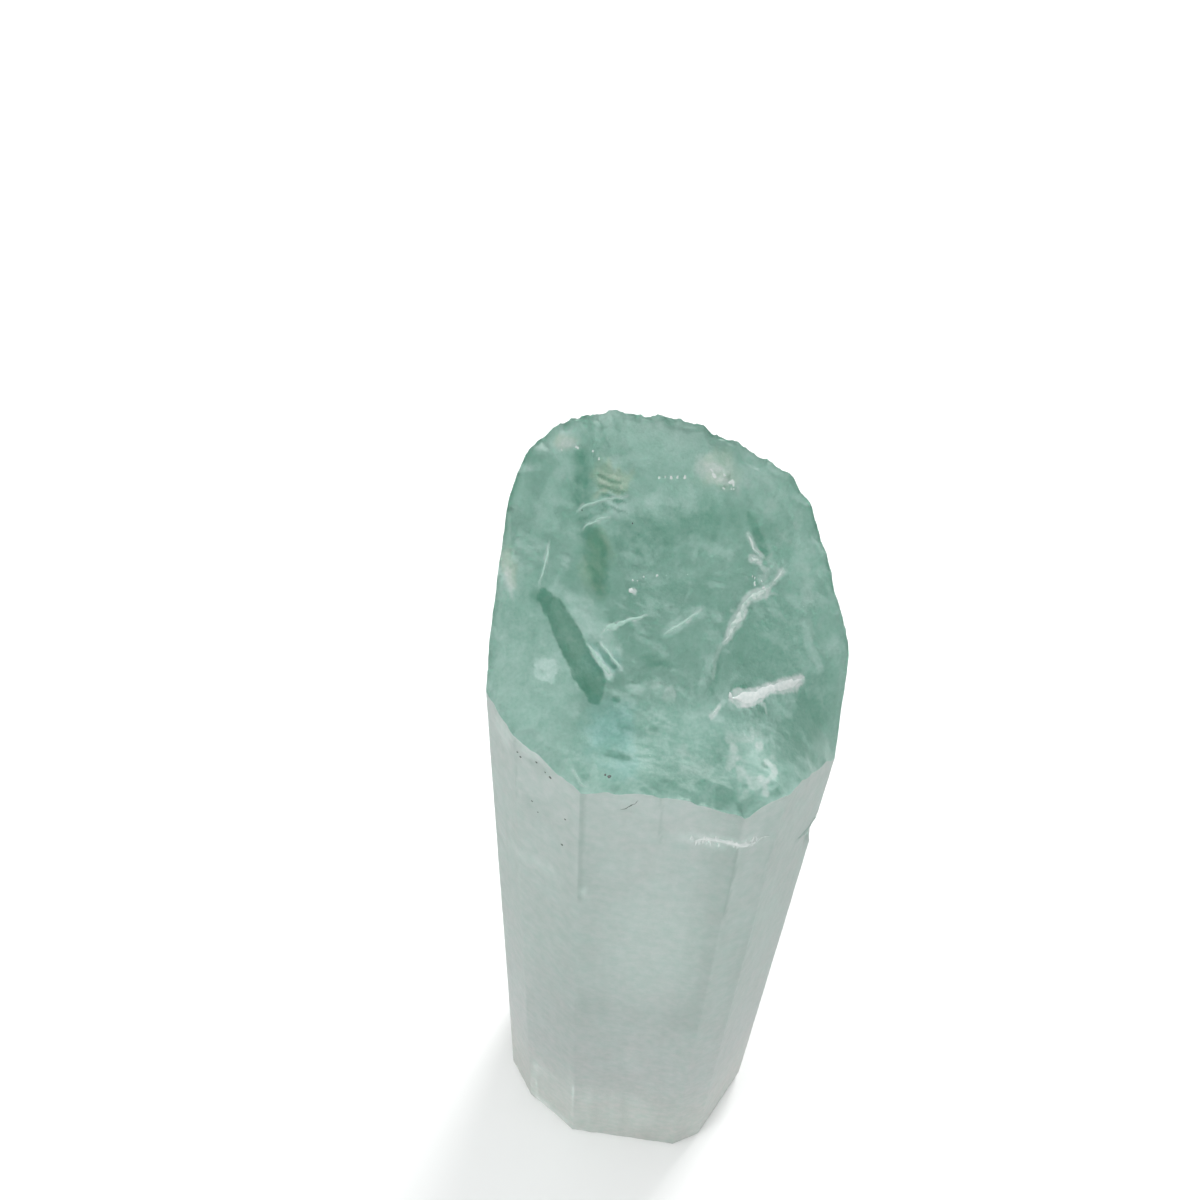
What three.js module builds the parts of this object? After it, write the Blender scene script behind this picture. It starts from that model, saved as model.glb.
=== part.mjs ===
// A natural aquamarine crystal: a six-sided beryl prism with blunted corners, standing on its flat lower end.
// Its upper end is broken off. The fracture is a level bench in front that sweeps up to a high rim behind,
// with shell-shaped (conchoidal) scars over it and small bites along its rim.
//
// Units are millimetres, +Z is up along the prism's growth axis, and the origin is at the centre of the base.

import * as THREE from 'three';
import { mergeVertices } from 'three/addons/utils/BufferGeometryUtils.js';

// Prism outline, counter-clockwise from the front left corner. Each corner has its place in plan, the height of
// the broken rim above it, and the height of the rim halfway to the next corner.
const CORNERS = [
  { x: -5.75, y: -9.46, rim: 64.0, rimHalfway: 64.8 },
  { x: 4.6, y: -10.82, rim: 64.0, rimHalfway: 64.6 },
  { x: 7.2, y: -9.8, rim: 64.8, rimHalfway: 62.5 },
  { x: 11.85, y: -3.6, rim: 59.9, rimHalfway: 63.3 },
  { x: 12.1, y: 0.07, rim: 67.0, rimHalfway: 71.0 },
  { x: 9.16, y: 7.06, rim: 74.1, rimHalfway: 75.3 },
  { x: 6.14, y: 9.35, rim: 76.0, rimHalfway: 78.2 },
  { x: -5.1, y: 10.84, rim: 78.2, rimHalfway: 78.0 },
  { x: -8.75, y: 9.35, rim: 77.4, rimHalfway: 76.6 },
  { x: -10.85, y: 6.45, rim: 74.0, rimHalfway: 70.9 },
  { x: -11.95, y: -0.3, rim: 67.7, rimHalfway: 66.6 },
  { x: -12.08, y: -2.65, rim: 65.6, rimHalfway: 65.2 },
  { x: -10.13, y: -6.03, rim: 65.3, rimHalfway: 64.8 },
];

// The fracture away from its rim: two planes, met by a soft valley.
const BENCH = { height: 65.9, slopeX: -0.055, slopeY: 0.2 };
const BACK_SLOPE = { height: 66.8, slopeX: -0.036, slopeY: 1.03 };
const VALLEY_WIDTH = 10;
const VALLEY_FILL = 5;
const RIM_REACH_POWER = 4; // how closely the pull of the rim's own height keeps to the rim

// Shell-shaped scars: centre, half sizes along and across, the turn of the long side, and depth.
const SCARS = [
  { x: 0.6, y: 4.4, along: 5.6, across: 3.5, turn: 10, depth: 1.0 },
  { x: 8.6, y: -2.2, along: 6.6, across: 4.6, turn: 68, depth: 1.0 },
  { x: -9.2, y: -2.6, along: 5.4, across: 3.0, turn: 118, depth: 0.5 },
  { x: -6.9, y: 7.0, along: 3.6, across: 2.3, turn: 60, depth: 0.45 },
  { x: 7.2, y: 6.2, along: 3.0, across: 1.9, turn: 125, depth: 0.5 },
  { x: 4.9, y: -7.6, along: 2.8, across: 2.1, turn: 20, depth: 0.3 },
  { x: -2.6, y: -6.6, along: 3.2, across: 1.8, turn: 160, depth: 0.35 },
];

// A straight channel across the left of the fracture, with a raised band along its inner side.
const CHANNEL = { fromX: -8.4, fromY: 1.5, toX: -4.8, toY: -4.1, halfWidth: 0.9, depth: 0.4 };
const BAND = { fromX: -7.5, fromY: 1.7, toX: -3.75, toY: -2.5, halfWidth: 0.7, depth: -0.25 };

// Small bites along the rim.
const BITE_COUNT = 60;
const BITE_RADIUS = { least: 0.6, most: 1.3 };
const BITE_DEPTH = { least: 0.1, most: 0.4 };

// Growth striations on the prism faces, and the worn edge of the base.
const STRIATIONS = { count: 56, depth: 0.07, seed: 301 };
const BASE_WEAR = { count: 19, least: 0.25, most: 1.0, height: 0.9, seed: 401 };

// Fineness of the surface.
const RIM_STEP = 0.62;
const TOP_RINGS = 26;
const TOP_RING_SPREAD = 0.8; // below 1, the rings lie closer together near the rim
const SIDE_ROWS = 5;

const COLOUR = 0x86b5a3;
const ROUGHNESS = 0.22;

/** A repeatable number from 0 to 1 for a whole number. */
function scatter(index) {
  const wave = Math.sin(index * 12.9898) * 43758.5453;
  return wave - Math.floor(wave);
}

function between(range, share) {
  return range.least + (range.most - range.least) * share;
}

/** Smooth unevenness from 0 to 1 around the outline, with the given count of rises, joined at its ends. */
function uneven(turn, count, seed) {
  const place = turn * count;
  const index = Math.floor(place);
  const blend = THREE.MathUtils.smoothstep(place - index, 0, 1);
  return THREE.MathUtils.lerp(scatter(seed + (index % count)), scatter(seed + ((index + 1) % count)), blend);
}

/** The prism outline as points one step apart, with every corner kept and the rim's height at each point. */
function outlinePoints() {
  const points = CORNERS.flatMap((corner, index) => {
    const next = CORNERS[(index + 1) % CORNERS.length];
    const length = Math.hypot(next.x - corner.x, next.y - corner.y);
    const steps = Math.max(2, Math.round(length / RIM_STEP));
    return Array.from({ length: steps }, (_, step) => ({
      x: THREE.MathUtils.lerp(corner.x, next.x, step / steps),
      y: THREE.MathUtils.lerp(corner.y, next.y, step / steps),
      rim: rimHeight(corner, next, step / steps),
    }));
  });
  return points.map((point, index) => ({ ...point, turn: index / points.length }));
}

/** The rim's height between two corners: a curve through both corners and the halfway height. */
function rimHeight(corner, next, share) {
  const straight = THREE.MathUtils.lerp(corner.rim, next.rim, share);
  const rise = corner.rimHalfway - (corner.rim + next.rim) / 2;
  return straight + rise * 4 * share * (1 - share);
}

/** The fracture away from its rim, before scars. */
function sweep(x, y) {
  const bench = BENCH.height + BENCH.slopeX * x + BENCH.slopeY * y;
  const back = BACK_SLOPE.height + BACK_SLOPE.slopeX * x + BACK_SLOPE.slopeY * y;
  const soft = Math.hypot(bench - back, VALLEY_WIDTH);
  return (bench + back + soft - VALLEY_FILL) / 2;
}

/** A dish from 1 in its middle to 0 at its edge, where it ends in a crisp arris. */
function dish(distance) {
  return Math.max(0, 1 - distance * distance);
}

function scarDepth(scar, x, y) {
  const turn = THREE.MathUtils.degToRad(scar.turn);
  const dx = x - scar.x;
  const dy = y - scar.y;
  const along = (dx * Math.cos(turn) + dy * Math.sin(turn)) / scar.along;
  const across = (dy * Math.cos(turn) - dx * Math.sin(turn)) / scar.across;
  return scar.depth * dish(Math.hypot(along, across));
}

function grooveDepth(groove, x, y) {
  const runX = groove.toX - groove.fromX;
  const runY = groove.toY - groove.fromY;
  const reach = ((x - groove.fromX) * runX + (y - groove.fromY) * runY) / (runX * runX + runY * runY);
  const share = THREE.MathUtils.clamp(reach, 0, 1);
  const distance = Math.hypot(x - groove.fromX - share * runX, y - groove.fromY - share * runY);
  return groove.depth * dish(distance / groove.halfWidth);
}

/** The bites, spread unevenly along the rim. */
function rimBites(outline) {
  return Array.from({ length: BITE_COUNT }, (_, index) => {
    const place = Math.floor(((index + 0.8 * scatter(index + 1)) / BITE_COUNT) * outline.length);
    const point = outline[place % outline.length];
    return {
      x: point.x,
      y: point.y,
      radius: between(BITE_RADIUS, scatter(index + 101)),
      depth: between(BITE_DEPTH, scatter(index + 201)),
    };
  });
}

/** The fracture's height over a point that lies on the line from the axis to a point of the outline. */
function fractureHeight(point, share, bites) {
  const x = point.x * share;
  const y = point.y * share;
  const pull = (point.rim - sweep(point.x, point.y)) * share ** RIM_REACH_POWER;
  let height = sweep(x, y) + pull;
  SCARS.forEach((scar) => {
    height -= scarDepth(scar, x, y) * (1 - share ** RIM_REACH_POWER);
  });
  height -= grooveDepth(CHANNEL, x, y) + grooveDepth(BAND, x, y);
  bites.forEach((bite) => {
    height -= bite.depth * dish(Math.hypot(x - bite.x, y - bite.y) / bite.radius);
  });
  return height;
}

/** The share of a point's distance from the axis that is left when its face stands back by a distance. */
function shareLeft(point, distance) {
  return 1 - distance / Math.hypot(point.x, point.y);
}

/** Where the prism face runs, with its long shallow growth steps. */
function faceShare(point) {
  return shareLeft(point, STRIATIONS.depth * uneven(point.turn, STRIATIONS.count, STRIATIONS.seed));
}

/** Where the flat base ends, inside its worn edge. */
function baseShare(point) {
  const wear = between(BASE_WEAR, uneven(point.turn, BASE_WEAR.count, BASE_WEAR.seed));
  return shareLeft(point, wear);
}

/** The closed rings of the surface, from the base up the sides to the rim and in over the fracture. */
function crystalRings(outline, bites) {
  const ring = (shareAt, heightAt) =>
    outline.map((point) => {
      const share = shareAt(point);
      return new THREE.Vector3(point.x * share, point.y * share, heightAt(point, share));
    });
  const rings = [ring(baseShare, () => 0)];
  for (let row = 0; row <= SIDE_ROWS; row += 1) {
    const heightAt = (point, share) =>
      THREE.MathUtils.lerp(BASE_WEAR.height, fractureHeight(point, share, bites), row / SIDE_ROWS);
    rings.push(ring(faceShare, heightAt));
  }
  for (let row = 1; row < TOP_RINGS; row += 1) {
    const inward = (1 - row / TOP_RINGS) ** TOP_RING_SPREAD;
    const heightAt = (point, share) => fractureHeight(point, share, bites);
    rings.push(ring((point) => inward * faceShare(point), heightAt));
  }
  return rings;
}

/** One closed surface from the rings, with a fan on the base and a fan at the middle of the fracture. */
function crystalGeometry() {
  const outline = outlinePoints();
  const bites = rimBites(outline);
  const rings = crystalRings(outline, bites);
  const positions = [];
  const triangle = (...corners) => corners.forEach((corner) => positions.push(...corner.toArray()));
  const count = rings[0].length;
  const foot = new THREE.Vector3(0, 0, 0);
  const middle = new THREE.Vector3(0, 0, fractureHeight(outline[0], 0, bites));
  for (let index = 0; index < count; index += 1) {
    const next = (index + 1) % count;
    triangle(foot, rings[0][next], rings[0][index]);
    for (let row = 0; row + 1 < rings.length; row += 1) {
      const [low, high] = [rings[row], rings[row + 1]];
      triangle(low[index], low[next], high[next]);
      triangle(low[index], high[next], high[index]);
    }
    const last = rings[rings.length - 1];
    triangle(last[index], last[next], middle);
  }
  const geometry = new THREE.BufferGeometry();
  geometry.setAttribute('position', new THREE.Float32BufferAttribute(positions, 3));
  const merged = mergeVertices(geometry);
  merged.computeVertexNormals();
  return merged;
}

const material = new THREE.MeshStandardMaterial({ color: COLOUR, roughness: ROUGHNESS, metalness: 0 });
const crystal = new THREE.Mesh(crystalGeometry(), material);
crystal.name = 'crystal';

const group = new THREE.Group();
group.add(crystal);

export default group;
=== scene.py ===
import math

import bpy
import numpy as np
from mathutils import Matrix, Vector


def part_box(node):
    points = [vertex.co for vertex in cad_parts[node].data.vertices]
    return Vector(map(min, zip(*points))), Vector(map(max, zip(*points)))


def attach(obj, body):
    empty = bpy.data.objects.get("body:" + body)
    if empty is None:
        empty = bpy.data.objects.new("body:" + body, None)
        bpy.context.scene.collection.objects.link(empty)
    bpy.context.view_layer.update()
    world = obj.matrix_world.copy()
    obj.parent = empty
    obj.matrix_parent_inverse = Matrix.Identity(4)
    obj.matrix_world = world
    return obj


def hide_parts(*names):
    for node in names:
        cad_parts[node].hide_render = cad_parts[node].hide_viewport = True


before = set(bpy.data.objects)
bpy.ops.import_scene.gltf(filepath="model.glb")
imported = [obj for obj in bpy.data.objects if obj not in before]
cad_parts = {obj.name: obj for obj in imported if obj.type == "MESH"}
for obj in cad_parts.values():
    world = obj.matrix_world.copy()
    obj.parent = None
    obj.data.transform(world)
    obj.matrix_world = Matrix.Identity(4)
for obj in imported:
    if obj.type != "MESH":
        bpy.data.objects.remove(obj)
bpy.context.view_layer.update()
cad_low, cad_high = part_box("crystal")

MM = 0.001

# ---- the crystal's shape, in millimetres

# Outline, counter-clockwise from the front left: x, y, rim height there, rim height halfway on.
CORNERS = np.array([
    (-5.75, -9.46, 64, 64.8),
    (4.6, -10.82, 64, 64.6),
    (7.2, -9.8, 64.8, 62.5),
    (11.85, -3.6, 59.9, 63.3),
    (12.1, 0.07, 67, 71),
    (9.16, 7.06, 74.1, 75.3),
    (6.14, 9.35, 76, 78.2),
    (-5.1, 10.84, 78.2, 78),
    (-8.75, 9.35, 77.4, 76.6),
    (-10.85, 6.45, 74, 70.9),
    (-11.95, -0.3, 67.7, 66.6),
    (-12.08, -2.65, 65.6, 65.2),
    (-10.13, -6.03, 65.3, 64.8),
])
# The fracture away from its rim: two planes (height, slope along X, slope along Y) met by a soft valley.
BENCH = (65.9, -0.055, 0.2)
BACK_SLOPE = (66.8, -0.036, 1.03)
VALLEY_WIDTH = 10.0
VALLEY_FILL = 5.0
RIM_REACH_POWER = 4

# Shell-shaped scars: x, y, half size along, half size across, turn in degrees, depth.
SCARS = (
    (0.6, 4.4, 5.6, 3.5, 10, 1),
    (8.6, -2.2, 6.6, 4.6, 68, 1),
    (-9.2, -2.6, 5.4, 3, 118, 0.5),
    (-6.9, 7, 3.6, 2.3, 60, 0.45),
    (7.2, 6.2, 3, 1.9, 125, 0.5),
    (4.9, -7.6, 2.8, 2.1, 20, 0.12),
    (-2.6, -6.6, 3.2, 1.8, 160, 0.35),
)
HOLLOW_SPREAD = 1.6
# Grooves: from x, y, to x, y, half width at each end, feather, depth. A negative depth stands up.
GROOVES = (
    (-8.38, 1.49, -4.82, -4.09, 0.5, 0.55, 0.5, 0.16),
    (-7.48, 1.68, -3.75, -2.51, 0.3, 0.4, 0.4, -0.1),
    (-5.21, 5.13, -4.33, 1.21, 0.4, 0.4, 0.5, 0.12),
    (-5.7, 5.61, -3.41, 6.64, 0.2, 0.2, 0.3, 0.1),
)
# Hackly patches of the fracture: x, y, half sizes, turn, strength.
HACKLES = (
    (4.6, -8, 2.4, 2.4, 20, 0.45),
    (0.1, -6.7, 4.8, 3, 0, 0.3),
    (-2.5, -4, 2.4, 1.6, 20, 0.3),
    (6.2, 3.1, 1.3, 2, 35, 0.5),
    (3.4, 8, 2.6, 1.2, -12, 0.45),
    (-5.6, 8.4, 2.6, 1.1, 12, 0.4),
    (-10.6, 2.8, 2.4, 0.9, 78, 0.45),
)
# Small bites along the rim, and the notches in its front: x, y, radius, depth.
BITE_COUNT = 110
BITE_RADIUS = (0.3, 1.1)
BITE_DEPTH = (0.04, 0.28)
FRONT_NOTCHES = ((4.75, -10.7, 0.95, 0.45), (2.8, -10.6, 1.8, 0.5))
# Unevenness of the fracture. The rim's own starts at a share of the way out, and its crumbs fade along y.
EDGE_BEND, SWELL, RIDGES, GRAIN = 0.3, 0.05, 0.2, 0.04
CRUMBS, CRUMBS_FROM, CRUMB_RANGE = 0.45, 0.94, (-9, 0)
RIM_ROUGHNESS, RIM_ROUGH_FROM = 0.35, 0.9
CRUMB_MEAN, RIDGE_MEAN = 0.65, 0.75
# Dents in the prism faces: distance round the prism, height, radius, depth.
DENTS = (
    (20.8, 50.4, 1.4, 0.34),
    (66.06, 61.1, 0.35, 0.08),
    (69.9, 63.9, 0.9, 0.1),
    (69.3, 58.6, 0.7, 0.1),
    (72.2, 59.3, 0.6, 0.08),
    (3.1, 62.7, 0.8, 0.1),
    (9.2, 60.1, 1.9, 0.08),
    (29.1, 60.5, 0.7, 0.08),
    (38.4, 64, 0.9, 0.1),
    (57.3, 58, 0.8, 0.1),
)

# The prism faces stand back a little, with upright growth striations and slight pitting.
SETBACK, STRIATIONS, PITTING = 0.035, 0.022, 0.012
STRIATION_STRETCH, DENT_STRETCH = 0.04, 0.8
# The flat base is slightly uneven, and its edge is worn.
BASE_UNEVENNESS = 0.03
BASE_WEAR, BASE_WEAR_HEIGHT, WEAR_SPREAD = 0.45, 1.1, 0.5
WEAR_RISE_POWER, WEAR_INSET_POWER = 1.5, 2.2

# Fineness of the surface. The powers draw rows and rings closer together towards the rim.
TURN_STEPS, WEAR_ROWS, BASE_RINGS = 480, 5, 5
TOP_RINGS, TOP_RING_POWER = 128, 0.85
SIDE_ROWS, SIDE_ROW_POWER = 58, 1.8

# The whole-number hash that the noise is made from.
HASH_START, HASH_MIX = 2654435761, 1274126177
HASH_PRIMES = (374761393, 668265263, 2147483647)
WHOLE_WORD = 0xFFFFFFFF


def scatter(index):
    """A repeatable number from 0 to 1 for a whole number."""
    wave = math.sin(index * 12.9898) * 43758.5453
    return wave - math.floor(wave)


def between(span, share):
    return span[0] + (span[1] - span[0]) * share


def lattice(cells, seed):
    """A repeatable number from -1 to 1 for each whole-number cell."""
    key = np.full(cells.shape[:-1], seed * HASH_START & WHOLE_WORD, np.uint32)
    for axis, prime in enumerate(HASH_PRIMES):
        key = key ^ (cells[..., axis].astype(np.int64).astype(np.uint32) * np.uint32(prime))
        key = (key ^ (key >> np.uint32(13))) * np.uint32(HASH_MIX)
        key = key ^ (key >> np.uint32(16))
    return key.astype(np.float64) / (WHOLE_WORD / 2) - 1.0


def noise(points, size, seed):
    """Smooth noise from -1 to 1 with bumps about one size across."""
    scaled = points / size
    cell = np.floor(scaled)
    part = scaled - cell
    part = part * part * part * (part * (part * 6 - 15) + 10)
    total = 0
    for corner in np.ndindex(2, 2, 2):
        offset = np.array(corner)
        weight = np.prod(np.where(offset == 1, part, 1 - part), axis=-1)
        total += weight * lattice(cell + offset, seed)
    return total


def fractal(points, size, seed, octaves=4, gain=0.5):
    """Noise in several sizes, each half the one before."""
    total, share = 0, 1.0
    for octave in range(octaves):
        total += share * noise(points, size / 2 ** octave, seed + octave)
        share *= gain
    return total


def ridged(points, size, seed, octaves=3):
    """Noise with sharp ridges, from about 0 to 1."""
    total, share = 0, 0.6
    for octave in range(octaves):
        total += share * (1 - np.abs(noise(points, size / 2 ** octave, seed + octave)))
        share *= 0.5
    return total


def dish(distance):
    """A dish from 1 in its middle to 0 at its crisp edge."""
    return np.maximum(0, 1 - distance * distance)


def hollow(distance):
    """A dish that runs out softly a little beyond its edge."""
    return np.maximum(0, 1 - distance * distance / HOLLOW_SPREAD) ** 2


def smooth(low, high, value):
    """A soft step from 0 at the low value to 1 at the high one."""
    part = np.clip((value - low) / (high - low), 0, 1)
    return part * part * (3 - 2 * part)


def flat_points(x, y):
    return np.stack([x, y, np.zeros_like(x)], -1)


def spot(x, y, centre_x, centre_y, along, across, turn):
    """Distance from a spot's middle, where 1 is its edge."""
    angle = math.radians(turn)
    dx, dy = x - centre_x, y - centre_y
    u = (dx * math.cos(angle) + dy * math.sin(angle)) / along
    v = (dy * math.cos(angle) - dx * math.sin(angle)) / across
    return np.hypot(u, v)


def stroke(x, y, x0, y0, x1, y1, half0, half1, feather):
    """A straight stroke that is 1 inside and fades over a feather's width."""
    run_x, run_y = x1 - x0, y1 - y0
    length = math.hypot(run_x, run_y)
    along = ((x - x0) * run_x + (y - y0) * run_y) / length
    across = np.abs((y - y0) * run_x - (x - x0) * run_y) / length
    half = half0 + (half1 - half0) * np.clip(along / length, 0, 1)
    ends = smooth(-feather, feather, along) * smooth(-feather, feather, length - along)
    return smooth(half + feather, half - feather, across) * ends


def sweep(x, y):
    """The fracture's broad form, before its scars."""
    bench = BENCH[0] + BENCH[1] * x + BENCH[2] * y
    back = BACK_SLOPE[0] + BACK_SLOPE[1] * x + BACK_SLOPE[2] * y
    return (bench + back + np.hypot(bench - back, VALLEY_WIDTH) - VALLEY_FILL) / 2


def outline():
    """Points along the outline: x, y, rim height and distance travelled."""
    lengths = np.hypot(*(np.roll(CORNERS[:, :2], -1, 0) - CORNERS[:, :2]).T)
    steps = np.maximum(4, np.round(lengths / lengths.sum() * TURN_STEPS)).astype(int)
    rows, travelled = [], 0.0
    for corner, after, length, count in zip(CORNERS, np.roll(CORNERS, -1, 0), lengths, steps):
        share = np.arange(count) / count
        plan = corner[:2] + share[:, None] * (after[:2] - corner[:2])
        rise = corner[3] - (corner[2] + after[2]) / 2
        rim = corner[2] + share * (after[2] - corner[2]) + rise * 4 * share * (1 - share)
        rows.append(np.column_stack([plan, rim, travelled + share * length]))
        travelled += length
    return np.vstack(rows), travelled


EDGE, EDGE_LENGTH = outline()
EDGE_X, EDGE_Y, EDGE_RIM, EDGE_AROUND = EDGE.T
EDGE_TURN = np.unwrap(np.arctan2(EDGE_Y, EDGE_X))
EDGE_REACH = np.hypot(EDGE_X, EDGE_Y)
EDGE_PULL = EDGE_RIM - sweep(EDGE_X, EDGE_Y)


def round_edge(x, y, values):
    """A value of the outline in the direction of each point."""
    turn = np.mod(np.arctan2(y, x) - EDGE_TURN[0], 2 * math.pi)
    known = np.append(EDGE_TURN - EDGE_TURN[0], 2 * math.pi)
    return np.interp(turn, known, np.append(values, values[0]))


def share_of_reach(x, y):
    """How far out each point lies, where 0 is the axis and 1 the outline."""
    return np.hypot(x, y) / round_edge(x, y, EDGE_REACH)


def bites():
    """The bites, unevenly spread, and the notches."""
    for index in range(BITE_COUNT):
        place = int((index + 0.8 * scatter(index + 1)) / BITE_COUNT * len(EDGE)) % len(EDGE)
        size = scatter(index + 101) ** 2
        yield EDGE_X[place], EDGE_Y[place], between(BITE_RADIUS, size), between(BITE_DEPTH, size)
    yield from FRONT_NOTCHES


def ovals(x, y, rows, outer, inner):
    """The strongest of some ovals, each with its strength last, that fade from inner to outer edge."""
    return np.maximum.reduce([row[5] * smooth(outer, inner, spot(x, y, *row[:5])) for row in rows])


def fracture(x, y):
    """Height of the broken top over each point."""
    share = share_of_reach(x, y)
    held = 1 - np.clip(share, 0, 1) ** RIM_REACH_POWER
    height = sweep(x, y) + round_edge(x, y, EDGE_PULL) * (1 - held)
    for scar in SCARS:
        height -= scar[5] * hollow(spot(x, y, *scar[:5])) * held
    for groove in GROOVES:
        height -= groove[7] * stroke(x, y, *groove[:7])
    points = flat_points(x, y)
    bent_x = x + EDGE_BEND * noise(points, size=0.9, seed=81)
    bent_y = y + EDGE_BEND * noise(points, size=0.9, seed=91)
    for bite_x, bite_y, radius, depth in bites():
        height -= depth * dish(np.hypot(bent_x - bite_x, bent_y - bite_y) / radius)
    height += SWELL * fractal(points, size=2.6, seed=21, octaves=3)
    crumbs = CRUMBS * smooth(CRUMBS_FROM, 1.0, share) * smooth(*CRUMB_RANGE, y)
    height += crumbs * (ridged(points, size=0.65, seed=43, octaves=2) - CRUMB_MEAN)
    rough = RIM_ROUGHNESS * smooth(RIM_ROUGH_FROM, 1.0, share)
    rough = np.maximum(ovals(bent_x, bent_y, HACKLES, outer=1.25, inner=0.3), rough)
    ridges = RIDGES * (ridged(points, size=1.25, seed=41) - RIDGE_MEAN)
    return height + rough * (ridges + GRAIN * noise(points, size=0.33, seed=47))


def face(around, height):
    """Points of the prism faces at a distance round the prism and a height."""
    around = np.mod(around, EDGE_LENGTH)
    known = np.append(EDGE_AROUND, EDGE_LENGTH)
    plan = np.stack([np.interp(around, known, np.append(edge, edge[0])) for edge in (EDGE_X, EDGE_Y)], -1)
    unit = plan / np.hypot(plan[..., 0], plan[..., 1])[..., None]
    stripes = np.stack([around, height * STRIATION_STRETCH, 0 * around], -1)
    setback = SETBACK + STRIATIONS * fractal(stripes, size=0.9, seed=71, octaves=3)
    solid = np.concatenate([plan, height[..., None]], -1)
    setback += PITTING * noise(solid, size=1.3, seed=77)
    for dent_around, dent_height, radius, depth in DENTS:
        gap = np.mod(around - dent_around + EDGE_LENGTH / 2, EDGE_LENGTH) - EDGE_LENGTH / 2
        setback += depth * dish(np.hypot(gap, (height - dent_height) * DENT_STRETCH) / radius)
    return plan - unit * setback[..., None], unit


def levels():
    """The closed rings of the surface, from the base up the sides and in over the fracture."""
    around = EDGE_AROUND
    plan, unit = face(around, EDGE_RIM)
    rim = fracture(plan[:, 0], plan[:, 1])
    wear = BASE_WEAR * (1 + WEAR_SPREAD * noise(flat_points(around, 0 * around), size=3.7, seed=61))
    made = []
    foot = face(around, np.zeros(len(EDGE)))[0] - unit * wear[:, None]
    for ring in range(1, BASE_RINGS):
        inner = foot * ring / BASE_RINGS
        uneven = BASE_UNEVENNESS * noise(flat_points(*inner.T), size=1.7, seed=65)
        made.append(np.column_stack([inner, BASE_UNEVENNESS + uneven]))
    for row in range(WEAR_ROWS):
        part = row / WEAR_ROWS
        height = np.full(len(EDGE), BASE_WEAR_HEIGHT * part ** WEAR_RISE_POWER)
        inset = wear * (1 - part) ** WEAR_INSET_POWER
        made.append(np.column_stack([face(around, height)[0] - unit * inset[:, None], height]))
    for row in range(SIDE_ROWS + 1):
        rise = 1 - (1 - row / SIDE_ROWS) ** SIDE_ROW_POWER
        height = BASE_WEAR_HEIGHT + (rim - BASE_WEAR_HEIGHT) * rise
        made.append(np.column_stack([face(around, height)[0], height]))
    top = made[-1][:, :2]
    for ring in range(1, TOP_RINGS):
        inner = top * (1 - ring / TOP_RINGS) ** TOP_RING_POWER
        made.append(np.column_stack([inner, fracture(inner[:, 0], inner[:, 1])]))
    return made


def mesh_object(name, vertices, faces, sharp_over=None):
    mesh = bpy.data.meshes.new(name)
    mesh.from_pydata(np.asarray(vertices, float).tolist(), [], faces)
    mesh.update()
    if sharp_over is not None:
        mesh.shade_smooth()
        mesh.set_sharp_from_angle(angle=math.radians(sharp_over))
    piece = bpy.data.objects.new(name, mesh)
    bpy.context.scene.collection.objects.link(piece)
    return piece


# ---- cracks and slivers that reach the fracture, and a painted reflection

# Routes on the fracture: x, y, half width.
# A painted reflection of a light on a smooth facet, drawn as a white slab.
REFLECTION_SLAB = (
    (3.9, -3.6, 0.09), (4.4, -3.5, 0.29), (5.1, -3.3, 0.3), (5.7, -3, 0.21),
    (6.5, -2.4, 0.16), (7.5, -2, 0.17), (8.3, -1.7, 0.18), (8.9, -1.4, 0.07),
)
MILKY_CRACKS = (
    (
        (3.4, -0.6, 0.03), (3.8, -0.2, 0.11), (4.1, 0.4, 0.14), (4.6, 1, 0.17),
        (4.8, 1.6, 0.1), (5.3, 2, 0.15), (6.1, 2.3, 0.15), (6.5, 2.6, 0.05),
    ),
    ((6.6, 2.7, 0.03), (6.9, 3, 0.05), (7.2, 3.3, 0.05), (7.4, 3.5, 0.02)),
    ((5, 5.4, 0.03), (5.2, 5, 0.06), (5.4, 4.6, 0.04), (6, 4.1, 0.02)),
    ((5.2, 4.2, 0.04), (5.4, 4, 0.09), (5.8, 3.9, 0.06)),
    ((2.6, -4.9, 0.05), (2.9, -4.5, 0.06), (3.1, -4.2, 0.02)),
)
PALE_SLIVERS = (
    ((-4.5, -0.4, 0.04), (-4.2, -0.1, 0.11), (-3.6, 0, 0.17), (-3.1, 0.3, 0.07), (-1.6, 0.7, 0.07)),
    ((-6.3, 5.9, 0.02), (-5.9, 6.3, 0.04), (-5.4, 6.4, 0.04), (-4.3, 6.6, 0.03), (-2.9, 6.9, 0.02)),
    ((-5.9, 5, 0.02), (-5.5, 5.3, 0.04), (-4.9, 5.6, 0.05), (-4.1, 5.8, 0.02)),
    ((-5.5, -1, 0.03), (-4.8, -1.8, 0.1), (-4, -2.7, 0.1)),
    ((-4.6, -0.9, 0.03), (-3.9, -1.7, 0.08), (-3.3, -2.3, 0.05)),
    ((-8, 4.5, 0.03), (-8.2, 3.7, 0.06), (-8.4, 3, 0.04), (-8.7, 2.2, 0.03)),
    ((-0.4, -0.3, 0.03), (0.2, 0.1, 0.07), (1.1, 0.6, 0.06), (1.9, 1.2, 0.04)),
    ((-6.2, -8.2, 0.02), (-5.8, -8.8, 0.06), (-5.4, -9.1, 0.03)),
)


def beds(cracks, feather, strength, widen):
    """The whitened beds of cracks, and of the painted reflection slab, as slightly wider paths."""
    for crack in cracks:
        yield feather, strength, *((x, y, widen * half) for x, y, half in crack)
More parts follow.
